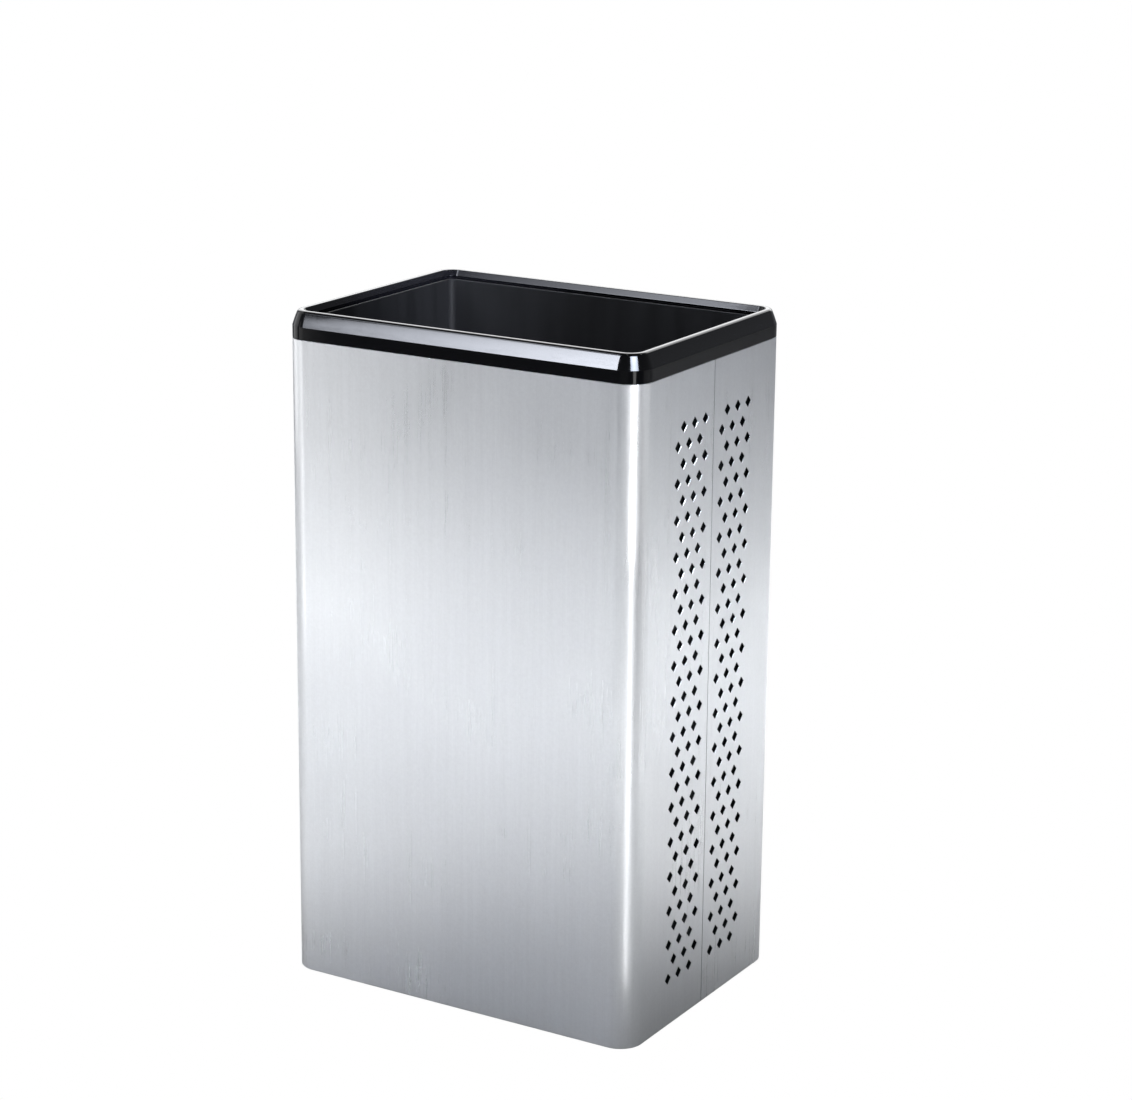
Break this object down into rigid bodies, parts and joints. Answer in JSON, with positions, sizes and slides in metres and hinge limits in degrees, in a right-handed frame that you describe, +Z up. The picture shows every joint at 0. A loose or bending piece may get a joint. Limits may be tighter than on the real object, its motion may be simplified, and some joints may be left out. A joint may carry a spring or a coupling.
{
  "type": "umbrella stand",
  "caption": "Rectangular umbrella stand: brushed steel half shells with perforated strips beside the side seams, lift-off glossy black rim and lift-out black liner.",
  "frame": {"origin": "on the floor under the middle of the stand", "axes": "+Z up; +X along the long faces, towards the side shown with perforations; -Y towards the viewer of the front long face"},
  "size_m": [0.36, 0.26, 0.62],
  "materials": {
    "brushed_steel": "stainless sheet, brushed along its height",
    "zinced_steel": "zinc plated, dull",
    "blackened_steel": "black oxide, dull",
    "rim_plastic": "glossy black moulding",
    "liner_plastic": "satin black moulding",
    "base_plastic": "matte black moulding",
    "foot_rubber": "matte black rubber"
  },
  "bodies": {
    "stand": {"front_shell": "brushed_steel", "rear_shell": "brushed_steel", "seam_clip_left": "blackened_steel", "seam_clip_right": "blackened_steel", "top_frame": "zinced_steel", "top_screw_1": "zinced_steel", "top_screw_2": "zinced_steel", "top_screw_3": "zinced_steel", "top_screw_4": "zinced_steel", "top_screw_5": "zinced_steel", "top_screw_6": "zinced_steel", "top_screw_7": "zinced_steel", "top_screw_8": "zinced_steel", "base_pan": "base_plastic", "base_screw_1": "zinced_steel", "base_screw_2": "zinced_steel", "base_screw_3": "zinced_steel", "base_screw_4": "zinced_steel", "base_screw_5": "zinced_steel", "base_screw_6": "zinced_steel", "base_screw_7": "zinced_steel", "base_screw_8": "zinced_steel", "foot_front_left": "foot_rubber", "foot_front_right": "foot_rubber", "foot_rear_left": "foot_rubber", "foot_rear_right": "foot_rubber", "foot_screw_front_left": "zinced_steel", "foot_screw_front_right": "zinced_steel", "foot_screw_rear_left": "zinced_steel", "foot_screw_rear_right": "zinced_steel"},
    "rim": {"rim": "rim_plastic"},
    "liner": {"liner": "liner_plastic"}
  },
  "joints": [
    {"name": "rim_lift", "type": "slide", "parent": "stand", "child": "rim", "axis": [0, 0, 1], "range_m": [0, 0.05]},
    {"name": "liner_lift", "type": "slide", "parent": "stand", "child": "liner", "axis": [0, 0, 1], "range_m": [0, 0.62]}
  ]
}
